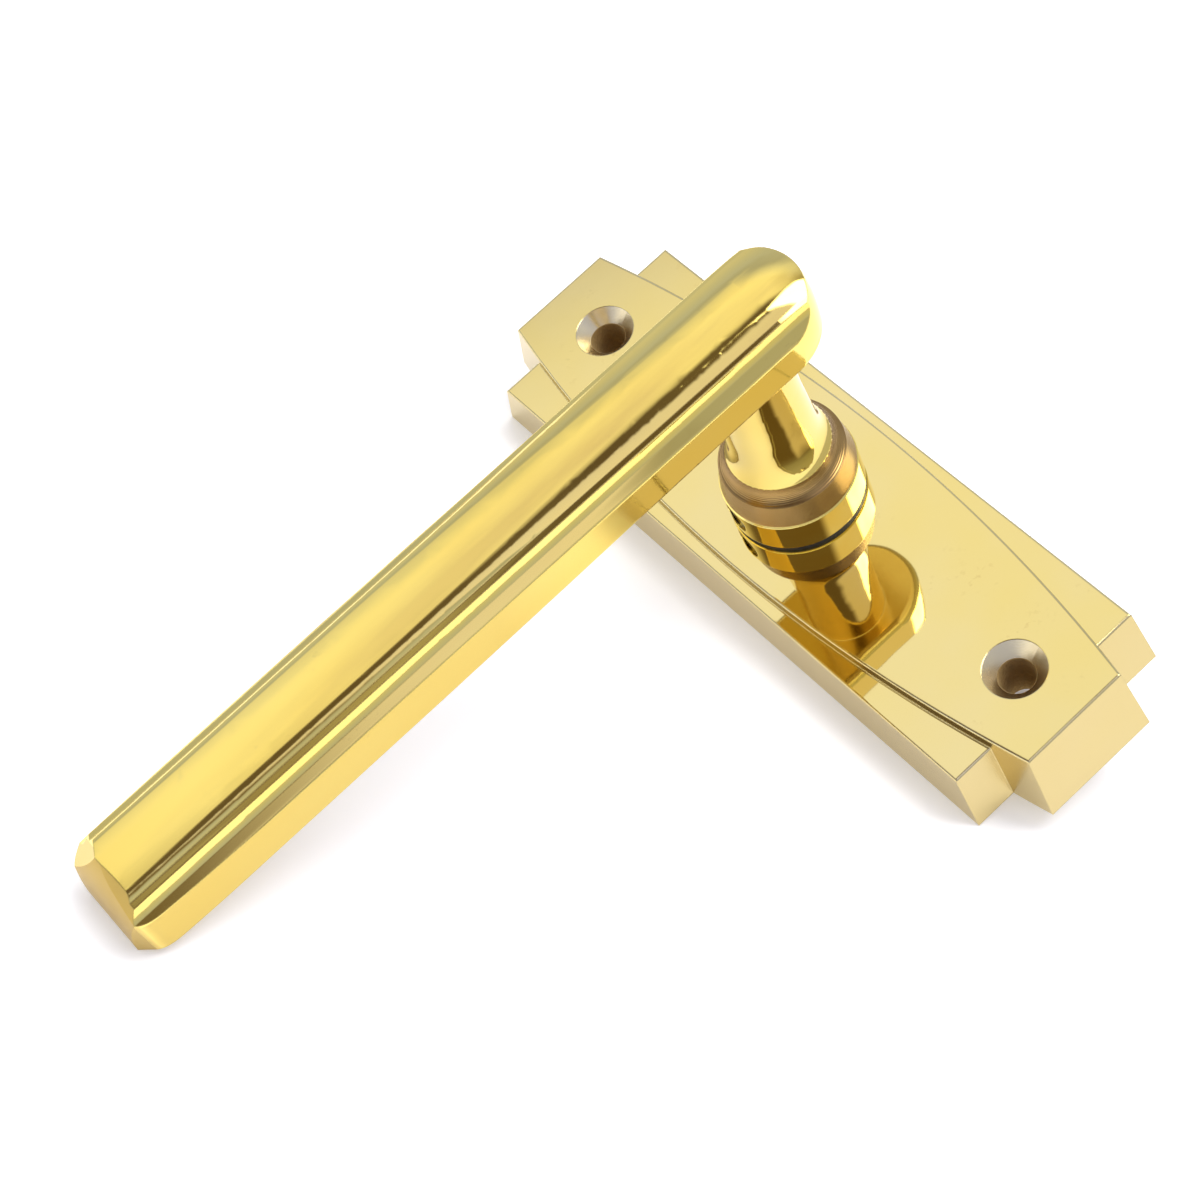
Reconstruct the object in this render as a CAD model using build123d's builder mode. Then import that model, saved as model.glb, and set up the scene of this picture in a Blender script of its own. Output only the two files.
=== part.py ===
"""Lever handle on a short stepped backplate, with the return spring cassette behind it.

The back of the plate lies on Z = 0 and the turning axis of the lever is the Z axis. The plate's
long axis runs along Y and the lever points along -X. All sizes are in millimetres.
"""
from build123d import *
import math
import os

# ---- backplate -------------------------------------------------------------------------------
HOLE_SPACING = 90.0        # between the two fixing holes, along Y
PLATE_THICK = 11.4         # back to the top of the raised panel
WING_THICK = 9.65          # back to the top of the lower wings
PANEL_HALF_LENGTH = 56.5   # raised panel, at its top
PANEL_END_HALF_WIDTH = 8.85
PANEL_MID_HALF_WIDTH = 15.0
PANEL_END_FLARE = 3.1      # how far the panel's ends lean out at the back
PANEL_SIDE_FLARE = 0.65
WING_HALF_LENGTH = 50.3    # lower wings, at their top
WING_HALF_WIDTH = 17.0
WING_END_FLARE = 2.85
WING_SIDE_FLARE = 0.5
EDGE_SOFT = 0.35           # rounding left on the polished outer edges

SCREW_HOLE_R = 2.7
COUNTERSINK_R = 4.65
COUNTERSINK_DEPTH = 2.25
SCREW_BOSS_R = 6.5

POCKET_HALF_WIDTH = 14.4   # hollow in the plate's back
POCKET_HALF_LENGTH = 48.5
POCKET_CEILING = 7.0
CHAMBER_R = 14.2           # round spring chamber in the middle of the hollow
CHAMBER_CEILING = 9.2
BOSS_R = 9.7               # boss that holds the bearing bush
BOSS_BOTTOM = 5.75
COVER_BOSS_R = 3.2
COVER_SCREW_Y = 20.5
COVER_SCREW_R = 1.5

# ---- turning parts ---------------------------------------------------------------------------
SHANK_R = 7.0
SHANK_BOTTOM = 2.1
SHANK_FLAT = 6.2           # flats that drive the stop plate
SHANK_FLAT_TOP = 5.72
SOCKET_HALF = 4.05         # square socket for an 8 mm spindle
SOCKET_TOP = 40.0
BUSH_CLEAR = 0.05
BUSH_R = 8.5
WASHER_TOP = 12.05
WASHER_R = 10.2

COLLAR_BOTTOM = 12.1
COLLAR_R = 10.35
COLLAR_BAND_TOP = 17.9
COLLAR_SHOULDER_R = 9.45
COLLAR_SHOULDER_Z = 21.9
NECK_FOOT_Z = 24.4
NECK_FOOT_R = 7.9
NECK_R = 6.2

GRUB_Z = 15.2
GRUB_R = 2.5
GRUB_ANGLE = 172.0         # round the collar, just off the lever's own direction
GRUB_OUTER = 9.7
GRUB_INNER = 4.9

# ---- lever bar -------------------------------------------------------------------------------
BAR_UNDER = 46.9
BAR_TOP = 57.55
BAR_HALF_WIDTH = 8.9
BAR_HEAD_CENTRE = 3.5      # centre of the rounded head, beyond the turning axis
HEAD_R = 8.95
BAR_STRAIGHT_END = -62.0
BAR_CORNER_START = -106.2  # where the sides turn in to the tip
BAR_CORNERS = [            # side, where the ground corner meets the side and the end
    (-1, -110.4, 7.35, 5.4),
    (1, -110.9, 7.7, 5.9),
]
BAR_TIP_HALF_WIDTH = 8.5
BAR_TIP_TOP = -107.8
BAR_TIP_MID = -110.3
BAR_TIP_BOTTOM = -112.3
TIP_FACETS = [             # a point on each ground facet and the way it faces
    ((-108.4, 2.0, 57.55), (-0.6, 0.38, 0.7)),
    ((-108.3, 1.5, 57.45), (-0.75, -0.06, 0.66)),
]
SWELL_START_X = -65.0      # the ridge grows rounder from here
SWELL_END_X = 4.0
HEAD_DROOP_R = 30.0        # the ridge curves down over the end of the head

# ---- spring cassette -------------------------------------------------------------------------
CLIP_BOTTOM = 2.8
CLIP_THICK = 1.0
CLIP_GROOVE_R = 6.35
CLIP_R = 8.6
SHIM_THICK = 0.35
STOP_PLATE_BOTTOM = 4.2
STOP_PLATE_THICK = 1.5
STOP_PLATE_R = 10.4
STOP_LUG_R = 13.5
STOP_LUG_HALF_ANGLE = 12.0
STOP_PIN_R = 1.1
STOP_PIN_AT = 12.6
STOP_PIN_ANGLE = 73.0      # either side of the lug
TAB_INNER = 11.4
TAB_OUTER = 12.2
TAB_HALF_WIDTH = 0.7
TAB_TOP = 8.95
POST_R = 0.7
POST_AT = 13.2
WIRE_R = 0.5
COIL_R = 10.6
COIL_BOTTOM = 6.35
COIL_TOP = 8.6
PIN_TOP = 10.6            # pins are pressed this far up into the plate
COVER_BOTTOM = 0.9
COVER_THICK = 1.0
COVER_HOLE_R = 6.5


def make_backplate():
    # the lower wings, leaning out toward the back
    with BuildPart() as wings:
        with BuildSketch(Plane.XY):
            Rectangle(2 * (WING_HALF_WIDTH + WING_SIDE_FLARE), 2 * (WING_HALF_LENGTH + WING_END_FLARE))
        with BuildSketch(Plane.XY.offset(WING_THICK)):
            Rectangle(2 * WING_HALF_WIDTH, 2 * WING_HALF_LENGTH)
        loft()
        fillet(wings.edges().filter_by(Axis.Z, reverse=True).group_by(Axis.Z)[-1], EDGE_SOFT)
    # the raised panel, bowed along its sides and longer than the wings
    with BuildPart() as backplate:
        for z, flare_y, flare_x in ((0, PANEL_END_FLARE, PANEL_SIDE_FLARE), (PLATE_THICK, 0, 0)):
            length = PANEL_HALF_LENGTH + flare_y
            end = PANEL_END_HALF_WIDTH + flare_x
            mid = PANEL_MID_HALF_WIDTH + flare_x
            with BuildSketch(Plane.XY.offset(z)):
                with BuildLine():
                    Line((-end, -length), (end, -length))
                    ThreePointArc((end, -length), (mid, 0), (end, length))
                    Line((end, length), (-end, length))
                    ThreePointArc((-end, length), (-mid, 0), (-end, -length))
                make_face()
        loft()
        fillet(backplate.edges().group_by(Axis.Z)[-1], EDGE_SOFT)
        add(wings.part)
        # hollow back, leaving bosses round the fixing holes and for the cover screws
        with BuildSketch(Plane.XY):
            RectangleRounded(2 * POCKET_HALF_WIDTH, 2 * POCKET_HALF_LENGTH, 3)
            with Locations((0, HOLE_SPACING / 2), (0, -HOLE_SPACING / 2)):
                Circle(SCREW_BOSS_R, mode=Mode.SUBTRACT)
            with Locations((0, COVER_SCREW_Y), (0, -COVER_SCREW_Y)):
                Circle(COVER_BOSS_R, mode=Mode.SUBTRACT)
        extrude(amount=POCKET_CEILING, mode=Mode.SUBTRACT)
        # round spring chamber with the bush boss standing in it
        with BuildSketch(Plane.XY):
            Circle(CHAMBER_R)
        extrude(amount=CHAMBER_CEILING, mode=Mode.SUBTRACT)
        with BuildSketch(Plane.XY.offset(BOSS_BOTTOM)):
            Circle(BOSS_R)
        extrude(amount=PLATE_THICK - BOSS_BOTTOM - 1)
        # room for the cover's thickness over its two bosses
        with BuildSketch(Plane.XY):
            with Locations((0, COVER_SCREW_Y), (0, -COVER_SCREW_Y)):
                Circle(COVER_BOSS_R)
        extrude(amount=COVER_BOTTOM + COVER_THICK, mode=Mode.SUBTRACT)
        # bore for the bush
        with BuildSketch(Plane.XY):
            Circle(BUSH_R)
        extrude(amount=PLATE_THICK, mode=Mode.SUBTRACT)
        # countersunk fixing holes
        with BuildSketch(Plane.XY):
            with Locations((0, HOLE_SPACING / 2), (0, -HOLE_SPACING / 2)):
                Circle(SCREW_HOLE_R)
        extrude(amount=PLATE_THICK, mode=Mode.SUBTRACT)
        for y in (-HOLE_SPACING / 2, HOLE_SPACING / 2):
            with Locations((0, y, PLATE_THICK - COUNTERSINK_DEPTH / 2)):
                Cone(SCREW_HOLE_R, COUNTERSINK_R, COUNTERSINK_DEPTH, mode=Mode.SUBTRACT)
        # blind holes for the cover screws, the stop pins and the spring post
        with BuildSketch(Plane.XY):
            with Locations((0, COVER_SCREW_Y), (0, -COVER_SCREW_Y)):
                Circle(COVER_SCREW_R)
        extrude(amount=8.2, mode=Mode.SUBTRACT)
        with BuildSketch(Plane.XY.offset(STOP_PLATE_BOTTOM)):
            with Locations(*stop_pin_places()):
                Circle(STOP_PIN_R)
            with Locations((0, POST_AT)):
                Circle(POST_R)
        extrude(amount=PIN_TOP - STOP_PLATE_BOTTOM, mode=Mode.SUBTRACT)
    return backplate.part


def stop_pin_places():
    places = []
    for side in (-1, 1):
        angle = math.radians(270 + side * STOP_PIN_ANGLE)
        places.append((STOP_PIN_AT * math.cos(angle), STOP_PIN_AT * math.sin(angle)))
    return places


def bar_section(x, swell, droop):
    """Cross-section of the lever bar at x.

    swell runs from 0 on the grip to 1 at the head, and droop is how far the ridge has fallen there.
    """
    def point(y, z):
        return (y, z - droop * max(0.0, z - 52.0) / (BAR_TOP - 52.0))

    half = [
        point(8.4 - 0.6 * swell, BAR_UNDER),
        point(8.75 - 0.18 * swell, BAR_UNDER + 0.15 + 0.25 * swell),
        point(8.9, BAR_UNDER + 0.5 + 0.9 * swell),
        point(8.9, 53.4 - 0.6 * swell),
        point(8.82, 53.6 - 0.55 * swell),
        point(8.65, 53.7 - 0.5 * swell),
        point(7.5 - 0.05 * swell, 54.45 - 0.15 * swell),
        point(6.95 + 0.05 * swell, 55.2 - 0.15 * swell),
        point(6.75 + 0.1 * swell, 56.2 - 0.2 * swell),
        point(5.75 + 0.4 * swell, 56.35 - 0.1 * swell),
        point(5.2 - 0.6 * swell, 56.95 + 0.05 * swell),
        point(4.2 - 1.8 * swell, 57.28 + 0.14 * swell),
    ]
    other = [(-y, z) for y, z in half]
    with BuildSketch(Plane.YZ.offset(x)) as section:
        with BuildLine():
            Line(other[0], half[0])
            ThreePointArc(half[0], half[1], half[2])
            Line(half[2], half[3])
            ThreePointArc(half[3], half[4], half[5])
            Line(half[5], half[6])
            ThreePointArc(half[6], half[7], half[8])
            Line(half[8], half[9])
            ThreePointArc(half[9], half[10], half[11])
            ThreePointArc(half[11], point(0, BAR_TOP), other[11])
            ThreePointArc(other[11], other[10], other[9])
            Line(other[9], other[8])
            ThreePointArc(other[8], other[7], other[6])
            Line(other[6], other[5])
            ThreePointArc(other[5], other[4], other[3])
            Line(other[3], other[2])
            ThreePointArc(other[2], other[1], other[0])
        make_face()
    return section.sketch


def head_envelope():
    """Everything the bar may fill: open toward the tip, a turned shape round the head."""
    with BuildPart() as envelope:
        with BuildSketch(Plane(origin=(BAR_HEAD_CENTRE, 0, 0), x_dir=(1, 0, 0), z_dir=(0, -1, 0))):
            with BuildLine():
                Line((0, 46), (7.9, 46))
                Line((7.9, 46), (7.9, BAR_UNDER))
                ThreePointArc((7.9, BAR_UNDER), (8.6, 47.4), (HEAD_R, 48.6))
                flank = [(HEAD_R, 48.6), (HEAD_R, 52.4), (8.65, 55.4), (8.2, 56.9)]
                Spline(*flank, tangents=[(0.05, 1), (-0.7, 0.9)])
                Line((8.2, 56.9), (6.0, 58.5))
                Line((6.0, 58.5), (0, 58.5))
                Line((0, 58.5), (0, 46))
            make_face()
        revolve(axis=Axis((BAR_HEAD_CENTRE, 0, 0), (0, 0, 1)))
        with Locations((BAR_HEAD_CENTRE - 70, 0, 52)):
            Box(140, 24, 14)
    return envelope.part


def make_lever():
    with BuildPart() as lever:
        # moulded bar: one section along the grip, its ridge growing rounder toward the head
        grip = [(-115, 0, 0), (-90, 0, 0), (SWELL_START_X, 0, 0)]
        for i in range(1, 5):
            part_way = i / 4
            smooth = part_way * part_way * (3 - 2 * part_way)
            grip.append((SWELL_START_X + part_way * (SWELL_END_X - SWELL_START_X), smooth, 0))
        loft([bar_section(x, swell, droop) for x, swell, droop in grip])
        # over the head the ridge curves down
        head = [(x, 1, (x - SWELL_END_X) ** 2 / (2 * HEAD_DROOP_R)) for x in (SWELL_END_X, 7, 10, 13)]
        loft([bar_section(x, swell, droop) for x, swell, droop in head])
        # outline seen from the front: parallel sides easing in toward the tip
        with BuildSketch(Plane.XY.offset(BAR_UNDER - 1)):
            wide = BAR_HALF_WIDTH + 0.05
            with BuildLine():
                Line((14, wide), (14, -wide))
                for s, corner_x, corner_y, end_y in BAR_CORNERS:
                    Line((14, s * wide), (BAR_STRAIGHT_END, s * wide))
                    Spline((BAR_STRAIGHT_END, s * wide), (BAR_CORNER_START, s * BAR_TIP_HALF_WIDTH),
                           tangents=[(-1, 0), (-1, -s * 0.035)])
                    Spline((BAR_CORNER_START, s * BAR_TIP_HALF_WIDTH), (corner_x, s * corner_y),
                           tangents=[(-1, -s * 0.035), (-0.7, -s * 0.7)])
                    Line((corner_x, s * corner_y), (BAR_TIP_BOTTOM, s * end_y))
                Line((BAR_TIP_BOTTOM, -BAR_CORNERS[0][3]), (BAR_TIP_BOTTOM, BAR_CORNERS[1][3]))
            make_face()
        extrude(amount=14, mode=Mode.INTERSECT)
        # outline seen from the side: sloped tip
        with BuildSketch(Plane.XZ):
            with BuildLine():
                Line((14, 46), (BAR_TIP_BOTTOM, 46))
                Line((BAR_TIP_BOTTOM, 46), (BAR_TIP_BOTTOM, BAR_UNDER))
                ThreePointArc((BAR_TIP_BOTTOM, BAR_UNDER), (BAR_TIP_MID, 54.3), (BAR_TIP_TOP, 58))
                Line((BAR_TIP_TOP, 58), (14, 58))
                Line((14, 58), (14, 46))
            make_face()
        extrude(amount=20, both=True, mode=Mode.INTERSECT)
        # round, slightly barrelled end of the head
        add(head_envelope(), mode=Mode.INTERSECT)
        # small facets ground on the corners of the tip
        for origin, facing in TIP_FACETS:
            split(bisect_by=Plane(origin=origin, z_dir=facing), keep=Keep.BOTTOM)
        # neck and shank, turned about the axis
        with BuildSketch(Plane.XZ):
            with BuildLine():
                Line((0, BAR_UNDER + 1), (NECK_R, BAR_UNDER + 1))
                Line((NECK_R, BAR_UNDER + 1), (NECK_R, 39))
                Spline((NECK_R, 39), (6.55, 31), (NECK_FOOT_R, NECK_FOOT_Z), tangents=[(0, -1), (0.75, -1)])
                Line((NECK_FOOT_R, NECK_FOOT_Z), (SHANK_R, NECK_FOOT_Z))
                Line((SHANK_R, NECK_FOOT_Z), (SHANK_R, SHANK_BOTTOM))
                Line((SHANK_R, SHANK_BOTTOM), (0, SHANK_BOTTOM))
                Line((0, SHANK_BOTTOM), (0, BAR_UNDER + 1))
            make_face()
        revolve(axis=Axis.Z)
        # flats for the stop plate and the groove for the retaining clip
        with BuildSketch(Plane.XY.offset(SHANK_BOTTOM)):
            for s in (-1, 1):
                with Locations((s * (SHANK_FLAT + 5), 0)):
                    Rectangle(10, 20)
        extrude(amount=SHANK_FLAT_TOP - SHANK_BOTTOM, mode=Mode.SUBTRACT)
        with BuildSketch(Plane.XY.offset(CLIP_BOTTOM - 0.05)):
            Circle(SHANK_R + 1)
            Circle(CLIP_GROOVE_R, mode=Mode.SUBTRACT)
        extrude(amount=CLIP_THICK + 0.1, mode=Mode.SUBTRACT)
        # square spindle socket
        with BuildSketch(Plane.XY):
            Rectangle(2 * SOCKET_HALF, 2 * SOCKET_HALF)
        extrude(amount=SOCKET_TOP, mode=Mode.SUBTRACT)
        # threaded hole for the grub screw
        with BuildSketch(grub_plane(COLLAR_R + 1)):
            Circle(GRUB_R)
        extrude(amount=-(COLLAR_R + 1 - 3.0), mode=Mode.SUBTRACT)
    return lever.part


def grub_plane(distance):
    """Plane facing outward through the side of the collar, at this distance from the axis."""
    angle = math.radians(GRUB_ANGLE)
    out = (math.cos(angle), math.sin(angle), 0)
    return Plane(origin=(distance * out[0], distance * out[1], GRUB_Z), z_dir=out)


def make_collar():
    with BuildPart() as collar:
        with BuildSketch(Plane.XZ):
            with BuildLine():
                Line((SHANK_R, COLLAR_BOTTOM), (COLLAR_R - 0.2, COLLAR_BOTTOM))
                Line((COLLAR_R - 0.2, COLLAR_BOTTOM), (COLLAR_R, COLLAR_BOTTOM + 0.2))
                Line((COLLAR_R, COLLAR_BOTTOM + 0.2), (COLLAR_R, COLLAR_BAND_TOP - 0.2))
                Line((COLLAR_R, COLLAR_BAND_TOP - 0.2), (COLLAR_R - 0.2, COLLAR_BAND_TOP))
                Line((COLLAR_R - 0.2, COLLAR_BAND_TOP), (COLLAR_SHOULDER_R, COLLAR_SHOULDER_Z))
                shoulder = (COLLAR_SHOULDER_R, COLLAR_SHOULDER_Z)
                ThreePointArc(shoulder, (8.35, 22.9), (NECK_FOOT_R, NECK_FOOT_Z))
                Line((NECK_FOOT_R, NECK_FOOT_Z), (SHANK_R, NECK_FOOT_Z))
                Line((SHANK_R, NECK_FOOT_Z), (SHANK_R, COLLAR_BOTTOM))
            make_face()
        revolve(axis=Axis.Z)
        with BuildSketch(grub_plane(COLLAR_R + 1)):
            Circle(GRUB_R)
        extrude(amount=-5.5, mode=Mode.SUBTRACT)
    return collar.part


def make_grub_screw():
    with BuildPart() as grub_screw:
        with BuildSketch(grub_plane(GRUB_OUTER)):
            Circle(GRUB_R)
        extrude(amount=-(GRUB_OUTER - GRUB_INNER))
        with BuildSketch(grub_plane(GRUB_OUTER)):
            RegularPolygon(1.25, 6, major_radius=False)
        extrude(amount=-2.4, mode=Mode.SUBTRACT)
    return grub_screw.part


def make_ring(inner, outer, bottom, thick):
    with BuildPart() as ring:
        with BuildSketch(Plane.XY.offset(bottom)):
            Circle(outer)
            Circle(inner, mode=Mode.SUBTRACT)
        extrude(amount=thick)
    return ring.part


def make_retaining_clip():
    """Open spring-steel ring with two eyed ears."""
    with BuildPart() as clip:
        with BuildSketch(Plane.XY.offset(CLIP_BOTTOM)):
            Circle(CLIP_R - 0.2)
            with Locations((0, -0.25)):
                Circle(CLIP_R)
            with Locations((-2.1, 7.9), (2.1, 7.9)):
                Circle(1.4)
            Circle(CLIP_GROOVE_R, mode=Mode.SUBTRACT)
            with Locations((0, 8)):
                Rectangle(1.9, 6, mode=Mode.SUBTRACT)
            with Locations((-2.2, 8.1), (2.2, 8.1)):
                Circle(0.6, mode=Mode.SUBTRACT)
        extrude(amount=CLIP_THICK)
    return clip.part


def make_stop_plate():
    """Steel plate keyed to the shank, with a stop lug one side and a turned-up spring tab the other."""
    with BuildPart() as stop_plate:
        with BuildSketch(Plane.XY.offset(STOP_PLATE_BOTTOM)):
            Circle(STOP_PLATE_R)
            with BuildLine():
                a0 = 270 - STOP_LUG_HALF_ANGLE
                a1 = 270 + STOP_LUG_HALF_ANGLE
                CenterArc((0, 0), STOP_LUG_R, a0, a1 - a0)
                for a in (a0, a1):
                    t = math.radians(a)
                    Line((0, 0), (STOP_LUG_R * math.cos(t), STOP_LUG_R * math.sin(t)))
            make_face()
            with Locations((0, TAB_OUTER / 2)):
                Rectangle(2 * TAB_HALF_WIDTH, TAB_OUTER)
            # opening with two flats, matching the shank
            Circle(SHANK_R, mode=Mode.SUBTRACT)
            for s in (-1, 1):
                with Locations((s * (SHANK_FLAT + 1), 0)):
                    Rectangle(2, 7.5)
        extrude(amount=STOP_PLATE_THICK)
        with BuildSketch(Plane.XY.offset(STOP_PLATE_BOTTOM)):
            with Locations((0, (TAB_INNER + TAB_OUTER) / 2)):
                Rectangle(2 * TAB_HALF_WIDTH, TAB_OUTER - TAB_INNER)
        extrude(amount=TAB_TOP - STOP_PLATE_BOTTOM)
    return stop_plate.part


def make_return_spring():
    """Coil round the bush boss; its two legs straddle the tab and the post."""
    leg_x = TAB_HALF_WIDTH + WIRE_R + 0.05
    start = math.degrees(math.asin(leg_x / COIL_R))
    coils = 2 - 2 * start / 360
    rise = COIL_TOP - COIL_BOTTOM
    first = math.radians(90 + start)
    with BuildPart() as spring:
        across = (math.cos(first), math.sin(first), 0)
        with BuildLine(Plane(origin=(0, 0, COIL_BOTTOM), x_dir=across, z_dir=(0, 0, 1))) as coil:
            Helix(pitch=rise / coils, height=rise, radius=COIL_R)
        with BuildSketch(Plane(origin=coil.line @ 0, z_dir=coil.line % 0)):
            Circle(WIRE_R)
        sweep(path=coil.line, is_frenet=True)
        foot_y = COIL_R * math.cos(math.radians(start)) - 0.2
        for x, z in ((-leg_x, COIL_BOTTOM), (leg_x, COIL_TOP)):
            with BuildSketch(Plane(origin=(x, foot_y, z), z_dir=(0, 1, 0))):
                Circle(WIRE_R)
            extrude(amount=13.9 - foot_y)
    return spring.part


def make_pins():
    with BuildPart() as pins:
        with BuildSketch(Plane.XY.offset(STOP_PLATE_BOTTOM)):
            with Locations(*stop_pin_places()):
                Circle(STOP_PIN_R)
        extrude(amount=PIN_TOP - STOP_PLATE_BOTTOM)
    return pins.part


def make_spring_post():
    with BuildPart() as post:
        with BuildSketch(Plane.XY.offset(STOP_PLATE_BOTTOM + 1)):
            with Locations((0, POST_AT)):
                Circle(POST_R)
        extrude(amount=PIN_TOP - STOP_PLATE_BOTTOM - 1)
    return post.part


def make_cover():
    with BuildPart() as cover:
        with BuildSketch(Plane.XY.offset(COVER_BOTTOM)):
            Circle(13.6)
            RectangleRounded(15, 2 * COVER_SCREW_Y + 8.6, 4)
            Circle(COVER_HOLE_R, mode=Mode.SUBTRACT)
            with Locations((0, COVER_SCREW_Y), (0, -COVER_SCREW_Y)):
                Circle(COVER_SCREW_R, mode=Mode.SUBTRACT)
        extrude(amount=COVER_THICK)
    return cover.part


def make_cover_screws():
    with BuildPart() as screws:
        for y in (-COVER_SCREW_Y, COVER_SCREW_Y):
            with BuildSketch(Plane.XY):
                with Locations((0, y)):
                    Circle(2.7)
            extrude(amount=COVER_BOTTOM)
            with BuildSketch(Plane.XY):
                with Locations((0, y)):
                    Circle(COVER_SCREW_R)
            extrude(amount=7.6)
            with BuildSketch(Plane.XY):
                with Locations((0, y)):
                    Rectangle(3.2, 0.7)
                    Rectangle(0.7, 3.2)
            extrude(amount=0.6, mode=Mode.SUBTRACT)
    return screws.part


def save(part, label):
    part.label = label
    export_step(part, f"parts/{label}.step")


os.makedirs("parts", exist_ok=True)
save(make_backplate(), "backplate")
save(make_lever(), "lever")
save(make_collar(), "collar")
save(make_grub_screw(), "grub_screw")
save(make_ring(SHANK_R + 0.3, WASHER_R, PLATE_THICK, WASHER_TOP - PLATE_THICK), "thrust_washer")
save(make_ring(SHANK_R + BUSH_CLEAR, BUSH_R, BOSS_BOTTOM, PLATE_THICK - BOSS_BOTTOM), "bearing_bush")
save(make_retaining_clip(), "retaining_clip")
save(make_ring(SHANK_R + 0.1, 9.0, STOP_PLATE_BOTTOM - SHIM_THICK - 0.02, SHIM_THICK), "shim_washer")
save(make_stop_plate(), "stop_plate")
save(make_return_spring(), "return_spring")
save(make_pins(), "stop_pins")
save(make_spring_post(), "spring_post")
save(make_cover(), "cassette_cover")
save(make_cover_screws(), "cover_screws")
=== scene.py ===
"""Looks for the lever handle: camera, floor, studio light and the metal and nylon materials."""

import math

import bpy
from mathutils import Matrix, Vector


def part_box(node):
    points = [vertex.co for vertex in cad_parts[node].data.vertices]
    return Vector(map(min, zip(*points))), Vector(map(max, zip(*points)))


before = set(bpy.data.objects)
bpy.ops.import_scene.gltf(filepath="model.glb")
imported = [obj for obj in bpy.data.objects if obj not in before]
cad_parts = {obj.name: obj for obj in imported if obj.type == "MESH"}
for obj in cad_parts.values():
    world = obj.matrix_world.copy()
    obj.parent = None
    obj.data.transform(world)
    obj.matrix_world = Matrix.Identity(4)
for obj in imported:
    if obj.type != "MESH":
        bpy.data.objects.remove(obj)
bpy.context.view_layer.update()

MM = 0.001

# ---- places on the object that the materials follow ---------------------------------------------
HOLE_Y = 45 * MM                # fixing holes, either side of the turning axis
COUNTERSINK_R = 4.75 * MM
HOLE_R = 2.8 * MM
PANEL_TOP = 11.36 * MM          # just under the plate's raised panel
HOLLOW_CEILING = 9.3 * MM       # the hollow in the plate's back
HOLLOW_HALF_X, HOLLOW_HALF_Y = 14.45 * MM, 48.6 * MM
SIDE_TOP = 53.7 * MM            # top of the lever's flat sides
TIP_START_X = -107.5 * MM
NECK_R = 9.2 * MM
NECK_TOP = 46.5 * MM
SHANK_R = 7.15 * MM
SHANK_TOP = 24 * MM
COLLAR_BAND_TOP = 17.9 * MM
TURNING_MARKS = 42000.0         # radians per metre, a ring every 0.15 mm
COLLAR_MARKS = 30000.0

# ---- camera ----------------------------------------------------------------------------------
CAMERA_AT = Vector((-0.0893, -0.2046, 0.3458))
CAMERA_FORWARD = Vector((0.1433, 0.5328, -0.8340))
CAMERA_UP = Vector((0.6684, 0.5694, 0.4786))
LENS = 82.15


def make_camera():
    data = bpy.data.cameras.new("camera")
    data.lens = LENS
    data.sensor_width = 36
    data.clip_start, data.clip_end = 0.01, 20
    camera = bpy.data.objects.new("camera", data)
    bpy.context.scene.collection.objects.link(camera)
    forward = CAMERA_FORWARD.normalized()
    right = forward.cross(CAMERA_UP).normalized()
    up = right.cross(forward)
    turn = Matrix((right, up, -forward)).transposed()
    camera.matrix_world = Matrix.Translation(CAMERA_AT) @ turn.to_4x4()
    bpy.context.scene.camera = camera


make_camera()

# ---- floor: the handle leans on the tip of its lever and on the plate's long edge --------------
PLATE_EDGE_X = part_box("backplate")[0][0]
TIP_X, TIP_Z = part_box("lever")[0][0], 46.9 * MM
FLOOR_SLOPE = TIP_Z / (PLATE_EDGE_X - TIP_X)
FLOOR_DROP = 0.1 * MM
FLOOR_REACH = 1.6
BROW_X = TIP_X - 9.7 * MM       # past the tip the sheet rolls over
BROW_LENGTH = 60 * MM
BROW_STEPS = 24


def floor_height(x):
    """Slope that holds the handle, then a rounded brow past the tip, then down again."""
    if x >= BROW_X:
        return FLOOR_SLOPE * (PLATE_EDGE_X - x) - FLOOR_DROP
    past = BROW_X - x
    rise = min(past, BROW_LENGTH)
    start = FLOOR_SLOPE * (PLATE_EDGE_X - BROW_X) - FLOOR_DROP
    z = start + FLOOR_SLOPE * (rise - rise * rise / BROW_LENGTH)
    return z - FLOOR_SLOPE * max(0.0, past - BROW_LENGTH)


def make_floor(material):
    brow = [BROW_X - BROW_LENGTH * (1 - i / BROW_STEPS) for i in range(BROW_STEPS + 1)]
    xs = [-FLOOR_REACH, *brow, FLOOR_REACH]
    verts = [(x, y, floor_height(x)) for x in xs for y in (-FLOOR_REACH, FLOOR_REACH)]
    faces = [(2 * i, 2 * i + 2, 2 * i + 3, 2 * i + 1) for i in range(len(xs) - 1)]
    mesh = bpy.data.meshes.new("floor")
    mesh.from_pydata(verts, [], faces)
    mesh.materials.append(material)
    for face in mesh.polygons:
        face.use_smooth = True
    floor = bpy.data.objects.new("floor", mesh)
    bpy.context.scene.collection.objects.link(floor)


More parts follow.
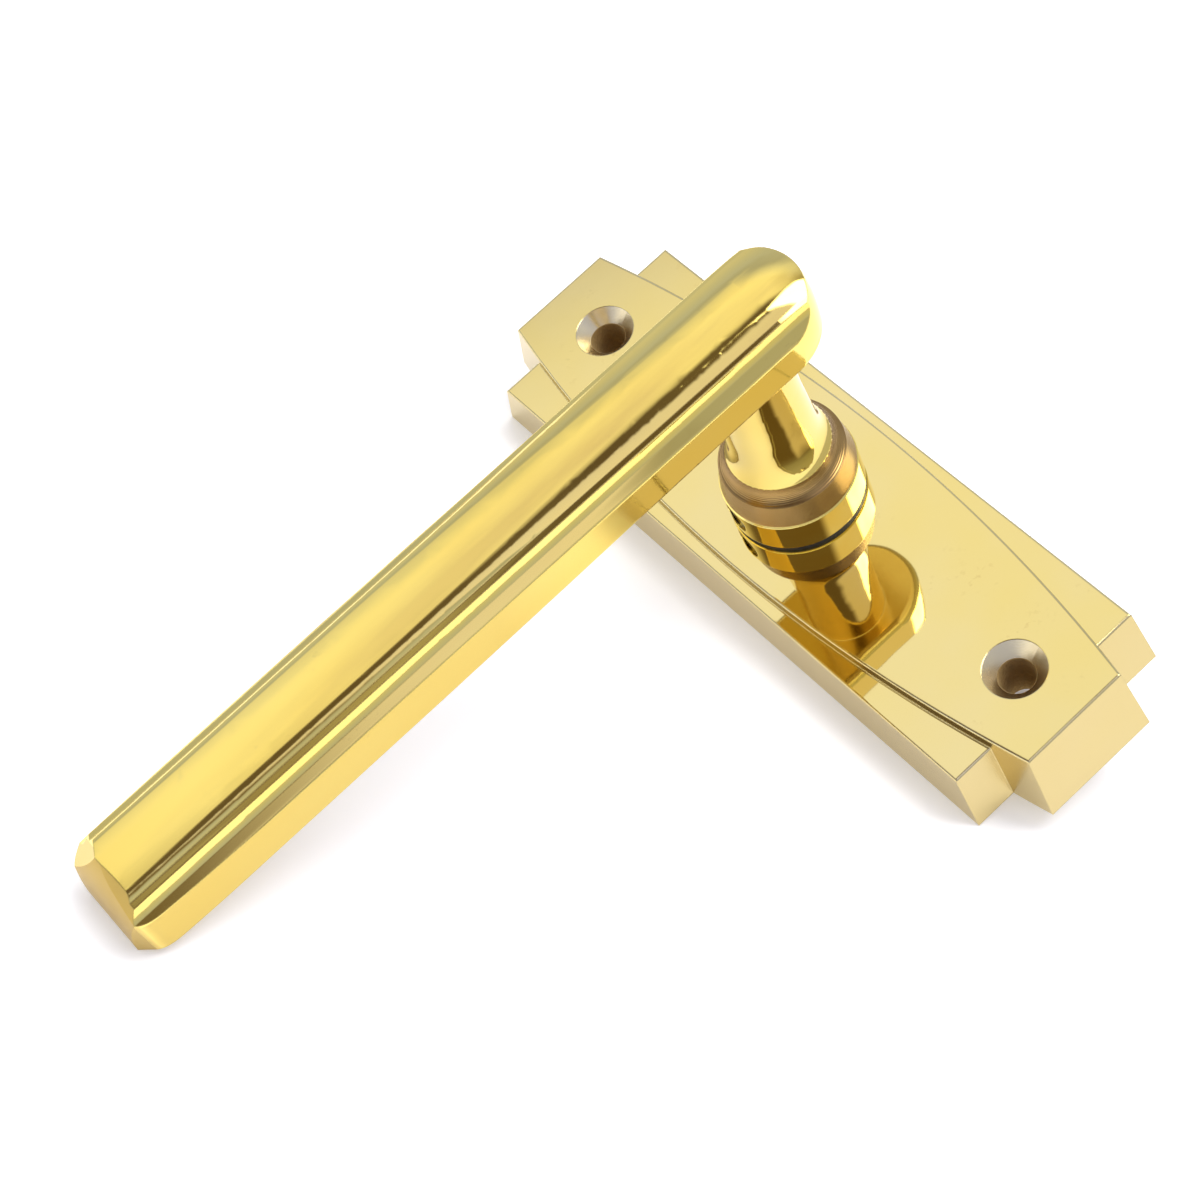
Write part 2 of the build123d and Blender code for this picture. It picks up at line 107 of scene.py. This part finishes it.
# ---- small helpers for node materials ----------------------------------------------------------
class Nodes:
    """Builds one node material."""

    def __init__(self, name):
        self.material = bpy.data.materials.new(name)
        self.material.use_nodes = True
        self.tree = self.material.node_tree
        self.shader = self.tree.nodes["Principled BSDF"]
        coords = self.tree.nodes.new("ShaderNodeTexCoord")
        self.place = coords.outputs["Object"]
        self.normal = coords.outputs["Normal"]

    def put(self, socket, value):
        if isinstance(value, bpy.types.NodeSocket):
            self.tree.links.new(value, socket)
        else:
            socket.default_value = value

    def math(self, kind, a, b=0.0, clamp=False):
        node = self.tree.nodes.new("ShaderNodeMath")
        node.operation = kind
        node.use_clamp = clamp
        self.put(node.inputs[0], a)
        self.put(node.inputs[1], b)
        return node.outputs[0]

    def split(self, vector):
        node = self.tree.nodes.new("ShaderNodeSeparateXYZ")
        self.put(node.inputs[0], vector)
        return node.outputs

    def stretch(self, scale, vector=None):
        node = self.tree.nodes.new("ShaderNodeMapping")
        self.put(node.inputs["Vector"], self.place if vector is None else vector)
        node.inputs["Scale"].default_value = scale
        return node.outputs[0]

    def noise(self, scale, detail=3.0, vector=None, rough=0.55):
        node = self.tree.nodes.new("ShaderNodeTexNoise")
        self.put(node.inputs["Vector"], self.place if vector is None else vector)
        node.inputs["Scale"].default_value = scale
        node.inputs["Detail"].default_value = detail
        node.inputs["Roughness"].default_value = rough
        return node.outputs["Fac"]

    def remap(self, value, low, high, to_low=0.0, to_high=1.0):
        node = self.tree.nodes.new("ShaderNodeMapRange")
        self.put(node.inputs["Value"], value)
        for key, number in (("From Min", low), ("From Max", high), ("To Min", to_low), ("To Max", to_high)):
            self.put(node.inputs[key], number)
        return node.outputs["Result"]

    def mix(self, factor, a, b):
        node = self.tree.nodes.new("ShaderNodeMix")
        node.data_type = "RGBA"
        self.put(node.inputs["Factor"], factor)
        self.put(node.inputs[6], a)
        self.put(node.inputs[7], b)
        return node.outputs[2]

    def bump(self, height, strength, distance, under=None):
        node = self.tree.nodes.new("ShaderNodeBump")
        self.put(node.inputs["Height"], height)
        self.put(node.inputs["Strength"], strength)
        node.inputs["Distance"].default_value = distance
        if under is not None:
            self.put(node.inputs["Normal"], under)
        return node.outputs[0]

    def soft_edges(self, radius):
        node = self.tree.nodes.new("ShaderNodeBevel")
        node.samples = 6
        node.inputs["Radius"].default_value = radius
        return node.outputs[0]

    def distance_from_axis(self, at_y=0.0):
        parts = self.split(self.place)
        along = self.math("SUBTRACT", parts[1], at_y)
        squares = [self.math("MULTIPLY", part, part) for part in (parts[0], along)]
        return self.math("SQRT", self.math("ADD", squares[0], squares[1]))

    def inside(self, half_x, half_y):
        """One inside a rectangle about the axis, zero outside."""
        parts = self.split(self.place)
        in_x = self.math("LESS_THAN", self.math("ABSOLUTE", parts[0]), half_x)
        in_y = self.math("LESS_THAN", self.math("ABSOLUTE", parts[1]), half_y)
        return self.math("MULTIPLY", in_x, in_y)


def rgb(r, g, b):
    return (r, g, b, 1.0)


# brass, from bright polish to dull skin; some colours below are painted shade and painted shadow
POLISHED = rgb(1.0, 0.82, 0.25)
DEEP = rgb(0.98, 0.74, 0.17)
PALE = rgb(0.85, 0.735, 0.38)
PLATE_WARM = rgb(0.86, 0.72, 0.29)
LINISHED = rgb(0.58, 0.45, 0.20)
MATT = rgb(0.48, 0.31, 0.06)
# painted shade for the lever's underside
UNDERSIDE_PAINTED_SHADE = rgb(0.42, 0.28, 0.08)
# painted shade for the neck under the lever head
NECK_PAINTED_SHADE = rgb(0.56, 0.39, 0.11)
# painted shade for the near edge of the lever's flat top
TOP_EDGE_PAINTED_SHADE = rgb(0.52, 0.34, 0.14)
TARNISH = rgb(0.50, 0.34, 0.14)
MACHINED = rgb(0.80, 0.67, 0.38)
MACHINED_CREST = rgb(0.90, 0.80, 0.54)
SHOULDER_DARK, SHOULDER_LIGHT = rgb(0.31, 0.18, 0.05), rgb(0.50, 0.33, 0.12)
CAST_DARK, CAST_LIGHT = rgb(0.50, 0.36, 0.15), rgb(0.66, 0.50, 0.24)
# painted shade for the bores of the fixing holes
BORE_PAINTED_SHADE = rgb(0.07, 0.045, 0.018)
NYLON_DARK, NYLON_LIGHT = rgb(0.012, 0.011, 0.011), rgb(0.035, 0.032, 0.03)
SHEET_DARK, SHEET_LIGHT = rgb(0.90, 0.90, 0.895), rgb(0.93, 0.93, 0.93)
# painted shadow: the floor's glow colour under the plate
UNDER_PLATE_SHADOW = rgb(0, 0, 0)


def finish_metal(m, colour, roughness, normal):
    m.shader.inputs["Metallic"].default_value = 1.0
    m.put(m.shader.inputs["Base Color"], colour)
    m.put(m.shader.inputs["Roughness"], roughness)
    m.put(m.shader.inputs["Normal"], normal)
    return m.material


def tarnish_mask(m):
    """Sparse small spots where the polish has gone brown."""
    cloud = m.noise(90.0, 2.0)
    spots = m.noise(900.0, 3.0)
    both = m.math("MULTIPLY", m.remap(cloud, 0.58, 0.75), m.remap(spots, 0.58, 0.70))
    return m.math("MULTIPLY", both, 0.3)


def plate_brass():
    m = Nodes("plate_brass")
    z = m.split(m.place)[2]
    nz = m.split(m.normal)[2]
    shade = m.mix(m.remap(m.noise(38.0, 3.0), 0.3, 0.7), PALE, PLATE_WARM)
    shade = m.mix(tarnish_mask(m), shade, TARNISH)
    wipe = m.noise(60.0, 4.0, m.stretch((1.0, 0.25, 1.0)))
    rough = m.remap(wipe, 0.3, 0.7, 0.02, 0.05)
    # walls carry a duller linished finish
    wall = m.remap(nz, 0.75, 0.45)
    rough = m.math("ADD", rough, m.math("MULTIPLY", wall, 0.2))
    shade = m.mix(m.math("MULTIPLY", wall, 0.75), shade, LINISHED)
    grain = m.noise(1500.0, 2.0, m.stretch((1.0, 1.0, 0.08)))
    height = m.math("MULTIPLY", grain, wall)
    # countersinks and holes: lathe finish, duller and greyer; the hole bores carry painted shade
    near = m.math("MINIMUM", m.distance_from_axis(HOLE_Y), m.distance_from_axis(-HOLE_Y))
    below = m.math("LESS_THAN", z, PANEL_TOP)
    in_hole = m.math("MULTIPLY", m.math("LESS_THAN", near, COUNTERSINK_R), below)
    rings = m.math("SINE", m.math("MULTIPLY", near, TURNING_MARKS))
    countersink_and_bore_shade = m.mix(m.remap(rings, -1.0, 1.0), MACHINED, MACHINED_CREST)
    # painted shade: the bore of each fixing hole is painted near black for the shade deep inside it, and is
    # also made rougher
    bore_shade_and_rough = m.math("LESS_THAN", near, HOLE_R)
    countersink_and_bore_shade = m.mix(bore_shade_and_rough, countersink_and_bore_shade, BORE_PAINTED_SHADE)
    shade = m.mix(in_hole, shade, countersink_and_bore_shade)
    rough = m.math("ADD", rough, m.math("MULTIPLY", in_hole, 0.16))
    rough = m.math("ADD", rough, m.math("MULTIPLY", bore_shade_and_rough, 0.3))
    # as-cast hollow at the back
    back = m.math("LESS_THAN", z, HOLLOW_CEILING)
    back = m.math("MULTIPLY", back, m.inside(HOLLOW_HALF_X, HOLLOW_HALF_Y))
    cast = m.mix(m.noise(300.0, 5.0), CAST_DARK, CAST_LIGHT)
    shade = m.mix(back, shade, cast)
    rough = m.math("ADD", rough, m.math("MULTIPLY", back, 0.35))
    normal = m.bump(height, 0.25, 0.03 * MM, m.soft_edges(0.25 * MM))
    normal = m.bump(m.noise(70.0, 2.0), 0.05, 0.3 * MM, normal)
    normal = m.bump(m.math("MULTIPLY", m.noise(1400.0, 4.0), back), 0.8, 0.2 * MM, normal)
    return finish_metal(m, shade, rough, normal)


def lever_brass():
    m = Nodes("lever_brass")
    x, y, z = m.split(m.place)
    nx, ny, nz = m.split(m.normal)
    shade = m.mix(m.remap(m.noise(45.0, 3.0, m.stretch((0.3, 1.0, 1.0))), 0.3, 0.7), POLISHED, DEEP)
    shade = m.mix(tarnish_mask(m), shade, TARNISH)
    # the grip is satin, the head and neck are mirror bright
    satin = m.math("MULTIPLY", m.remap(x, -12 * MM, -35 * MM), m.remap(nz, 0.55, 0.9))
    side = m.remap(m.math("ABSOLUTE", ny), 0.85, 0.97)
    side = m.math("MULTIPLY", side, m.remap(x, -20 * MM, -50 * MM))
    side = m.math("MULTIPLY", side, m.math("LESS_THAN", z, SIDE_TOP))
    tip = m.math("MULTIPLY", m.math("LESS_THAN", x, TIP_START_X), m.remap(nx, -0.45, -0.75))
    wipe = m.noise(220.0, 4.0, m.stretch((0.12, 1.0, 1.0)))
    rough = m.remap(wipe, 0.3, 0.7, 0.03, 0.07)
    for mask, extra in ((satin, 0.06), (side, 0.2), (tip, 0.3)):
        rough = m.math("ADD", rough, m.math("MULTIPLY", mask, extra))
    matt = m.math("MAXIMUM", tip, m.math("MULTIPLY", side, 0.62))
    shade = m.mix(m.math("MULTIPLY", matt, 0.85), shade, MATT)
    # painted shade: the downward-facing underside is painted browner, and is also made rougher
    under = m.remap(nz, -0.35, -0.85)
    shade = m.mix(m.math("MULTIPLY", under, 0.8), shade, UNDERSIDE_PAINTED_SHADE)
    rough = m.math("ADD", rough, m.math("MULTIPLY", under, 0.12))
    # painted shade: brown streaks along the -Y half of the flat top, stronger toward the head, darken the
    # near edge of the bright band
    streaked_top_shade = m.remap(m.noise(130.0, 4.0, m.stretch((0.16, 1.0, 1.0))), 0.38, 0.66)
    streaked_top_shade = m.math("MULTIPLY", streaked_top_shade, m.remap(x, -105 * MM, -5 * MM, 0.25, 1.0))
    streaked_top_shade = m.math("MULTIPLY", streaked_top_shade, m.remap(y, 2.5 * MM, -1.5 * MM))
    streaked_top_shade = m.math("MULTIPLY", streaked_top_shade, m.remap(nz, 0.80, 0.96))
    shade = m.mix(m.math("MULTIPLY", streaked_top_shade, 0.62), shade, TOP_EDGE_PAINTED_SHADE)
    brushed = m.noise(2600.0, 3.0, m.stretch((0.05, 1.0, 1.0)))
    depth = m.math("MAXIMUM", m.math("MAXIMUM", side, tip), m.math("MULTIPLY", satin, 0.2))
    height = m.math("MULTIPLY", brushed, depth)
    normal = m.bump(height, 0.2, 0.03 * MM, m.soft_edges(0.3 * MM))
    normal = m.bump(m.noise(60.0, 2.0, m.stretch((0.35, 1.0, 1.0))), 0.10, 0.4 * MM, normal)
    # painted shade: the neck under the lever head is painted deeper brown
    neck_shade = m.math("LESS_THAN", m.distance_from_axis(), NECK_R)
    neck_shade = m.math("MULTIPLY", neck_shade, m.remap(z, NECK_TOP + MM, NECK_TOP - MM))
    shade = m.mix(m.math("MULTIPLY", neck_shade, 0.4), shade, NECK_PAINTED_SHADE)
    # socket walls and shank are machined and dull
    inner = m.math("LESS_THAN", m.distance_from_axis(), SHANK_R)
    inner = m.math("MULTIPLY", inner, m.math("LESS_THAN", z, SHANK_TOP))
    shade = m.mix(inner, shade, MACHINED)
    rough = m.math("ADD", rough, m.math("MULTIPLY", inner, 0.25))
    return finish_metal(m, shade, rough, normal)


def collar_brass():
    m = Nodes("collar_brass")
    z = m.split(m.place)[2]
    shoulder = m.remap(z, COLLAR_BAND_TOP - 0.05 * MM, COLLAR_BAND_TOP + 0.05 * MM)
    shade = m.mix(m.remap(m.noise(120.0, 4.0), 0.35, 0.7), POLISHED, DEEP)
    dull = m.mix(m.noise(260.0, 5.0), SHOULDER_DARK, SHOULDER_LIGHT)
    shade = m.mix(shoulder, shade, dull)
    rough = m.remap(m.noise(300.0, 3.0), 0.3, 0.7, 0.03, 0.06)
    rough = m.math("ADD", rough, m.math("MULTIPLY", shoulder, 0.2))
    rings = m.math("SINE", m.math("MULTIPLY", z, COLLAR_MARKS))
    normal = m.bump(m.math("MULTIPLY", rings, shoulder), 0.25, 0.04 * MM, m.soft_edges(0.2 * MM))
    return finish_metal(m, shade, rough, normal)


def plain_metal(name, colour, worn, roughness, grain_scale, stretch=(1, 1, 1), bump=0.2):
    m = Nodes(name)
    shade = m.mix(m.remap(m.noise(grain_scale, 4.0, m.stretch(stretch)), 0.35, 0.68), colour, worn)
    fine = m.noise(grain_scale * 3, 3.0, m.stretch(stretch))
    rough = m.remap(fine, 0.3, 0.7, roughness * 0.75, roughness * 1.25)
    grain = m.noise(grain_scale * 5, 3.0, m.stretch(stretch))
    normal = m.bump(grain, bump, 0.04 * MM, m.soft_edges(0.12 * MM))
    return finish_metal(m, shade, rough, normal)


def black_nylon():
    m = Nodes("black_nylon")
    shade = m.mix(m.noise(500.0, 4.0), NYLON_DARK, NYLON_LIGHT)
    m.put(m.shader.inputs["Base Color"], shade)
    m.put(m.shader.inputs["Roughness"], m.remap(m.noise(900.0, 3.0), 0.3, 0.7, 0.42, 0.6))
    m.put(m.shader.inputs["Normal"], m.bump(m.noise(2500.0, 3.0), 0.3, 0.04 * MM))
    return m.material


def floor_material():
    m = Nodes("floor")
    tone = m.mix(m.remap(m.noise(6.0, 3.0), 0.3, 0.7), SHEET_DARK, SHEET_LIGHT)
    m.put(m.shader.inputs["Base Color"], tone)
    m.shader.inputs["Roughness"].default_value = 0.6
    m.shader.inputs["Specular IOR Level"].default_value = 0.2
    # painted shadow: the sheet's glow fades to black under the plate, a painted contact shadow seen through
    # the fixing holes
    place = m.split(m.place)
    across = m.remap(m.math("ABSOLUTE", place[0]), 18 * MM, 4 * MM)
    along = m.remap(m.math("ABSOLUTE", place[1]), 58 * MM, 42 * MM)
    m.put(m.shader.inputs["Emission Color"], m.mix(m.math("MULTIPLY", across, along), tone, UNDER_PLATE_SHADOW))
    m.shader.inputs["Emission Strength"].default_value = 0.38
    return m.material


def dress(node, material):
    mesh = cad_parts[node].data
    mesh.materials.clear()
    mesh.materials.append(material)


zinc = plain_metal("zinc_steel", rgb(0.60, 0.61, 0.60), rgb(0.72, 0.71, 0.66), 0.30, 260.0, bump=0.15)
black_steel = plain_metal("black_steel", rgb(0.10, 0.09, 0.13), rgb(0.22, 0.20, 0.26), 0.28, 500.0)
bronze = plain_metal("bush_bronze", rgb(0.42, 0.28, 0.12), rgb(0.56, 0.40, 0.20), 0.45, 700.0, bump=0.5)
clip_steel = plain_metal("clip_steel", rgb(0.14, 0.14, 0.15), rgb(0.24, 0.24, 0.25), 0.38, 500.0)
pressing = plain_metal("zinc_pressing", rgb(0.55, 0.56, 0.57), rgb(0.70, 0.69, 0.62), 0.33, 180.0)
spring_wire = plain_metal("spring_wire", rgb(0.30, 0.30, 0.31), rgb(0.42, 0.41, 0.40), 0.25, 900.0)
pin_steel = plain_metal("pin_steel", rgb(0.55, 0.55, 0.56), rgb(0.66, 0.66, 0.66), 0.18, 400.0, (1, 1, 0.1))
cover_steel = plain_metal("cover_steel", rgb(0.58, 0.59, 0.59), rgb(0.74, 0.73, 0.68), 0.34, 120.0)
screw_steel = plain_metal("screw_steel", rgb(0.62, 0.61, 0.56), rgb(0.74, 0.72, 0.60), 0.3, 400.0)

dress("backplate", plate_brass())
dress("lever", lever_brass())
dress("collar", collar_brass())
dress("grub_screw", black_steel)
dress("thrust_washer", black_nylon())
dress("bearing_bush", bronze)
dress("retaining_clip", clip_steel)
dress("shim_washer", zinc)
dress("stop_plate", pressing)
dress("return_spring", spring_wire)
dress("stop_pins", pin_steel)
dress("spring_post", pin_steel)
dress("cassette_cover", cover_steel)
dress("cover_screws", screw_steel)

make_floor(floor_material())

# ---- light -------------------------------------------------------------------------------------
HORIZON = (0.62, 0.62, 0.64)
OVERHEAD = (0.13, 0.10, 0.08)
SKY = [                         # height, from 0 at the horizon to 1 overhead, and colour
    (0.5, (0.50, 0.54, 0.80)),
    (0.64, (0.42, 0.44, 0.60)),
    (0.74, (0.18, 0.14, 0.10)),
]
AIM = Vector((0, 0, 30 * MM))   # the panels' directions are seen from here


def make_world():
    """Dim studio: dark overhead, brighter toward the horizon."""
    world = bpy.data.worlds.new("studio")
    world.use_nodes = True
    nodes, links = world.node_tree.nodes, world.node_tree.links
    coords = nodes.new("ShaderNodeTexCoord")
    split = nodes.new("ShaderNodeSeparateXYZ")
    links.new(coords.outputs["Generated"], split.inputs[0])
    ramp = nodes.new("ShaderNodeValToRGB")
    links.new(split.outputs[2], ramp.inputs["Fac"])
    stops = ramp.color_ramp.elements
    stops[0].color = (*HORIZON, 1)
    stops[1].color = (*OVERHEAD, 1)
    for height, tone in SKY:
        stops.new(height).color = (*tone, 1)
    links.new(ramp.outputs[0], nodes["Background"].inputs["Color"])
    bpy.context.scene.world = world


def fade_edges(data, feather):
    """Fades a panel's light out over this share of its width and height, on each side."""
    data.use_nodes = True
    nodes, links = data.node_tree.nodes, data.node_tree.links
    split = nodes.new("ShaderNodeSeparateXYZ")
    links.new(nodes.new("ShaderNodeNewGeometry").outputs["Parametric"], split.inputs[0])
    both = nodes.new("ShaderNodeMath")
    both.operation = "MULTIPLY"
    for side in range(2):
        inward = nodes.new("ShaderNodeMath")
        inward.operation = "PINGPONG"
        inward.inputs[1].default_value = 0.5
        links.new(split.outputs[side], inward.inputs[0])
        fade = nodes.new("ShaderNodeMapRange")
        fade.interpolation_type = "SMOOTHSTEP"
        fade.inputs["From Max"].default_value = feather
        links.new(inward.outputs[0], fade.inputs["Value"])
        links.new(fade.outputs["Result"], both.inputs[side])
    links.new(both.outputs[0], nodes["Emission"].inputs["Strength"])


def softbox(name, toward, distance, size, radiance, feather, tint=(1, 1, 1), glossy=True, up=(0, 0, 1)):
    """A lit panel in the given direction, facing the aim point."""
    data = bpy.data.lights.new(name, "AREA")
    data.shape = "RECTANGLE"
    data.size, data.size_y = size
    data.energy = radiance * math.pi * size[0] * size[1]
    data.color = tint
    fade_edges(data, feather)
    light = bpy.data.objects.new(name, data)
    facing = Vector(toward).normalized()
    across = Vector(up).cross(facing).normalized()
    turn = Matrix((across, facing.cross(across), facing)).transposed()
    light.matrix_world = Matrix.Translation(AIM + distance * facing) @ turn.to_4x4()
    light.visible_glossy = glossy
    bpy.context.scene.collection.objects.link(light)


def over_far_side(x, degrees):
    """Direction that rises from +Y toward +Z by this many degrees, leaning x toward +X."""
    rise = math.radians(degrees)
    flat = math.sqrt(1 - x * x)
    return (x, flat * math.cos(rise), flat * math.sin(rise))


make_world()
# panel above the far side (+Y): gives the long bright band on the lever and lights the plate
softbox("key", over_far_side(0.13, 59.5), distance=0.9, size=(1.4, 0.66), radiance=0.88,
        feather=0.33, tint=(1.0, 0.995, 0.93))
# strong lamp, high toward +X
softbox("lamp", over_far_side(0.57, 103), distance=1.1, size=(0.55, 0.95), radiance=5.0,
        feather=0.12, up=(-0.5, 0.85, 0.2))
# bluish card above the near side (-Y)
softbox("near_card", over_far_side(0.24, 115.5), distance=1.15, size=(0.95, 0.78), radiance=0.74,
        feather=0.2, tint=(0.88, 0.90, 1.35))
# wide light that only fills the floor
softbox("floor_fill", (FLOOR_SLOPE, 0, 1), distance=1.3, size=(2.4, 2.4), radiance=0.5,
        feather=0.05, glossy=False, up=(0, 1, 0))

bpy.context.scene.view_settings.view_transform = "Standard"
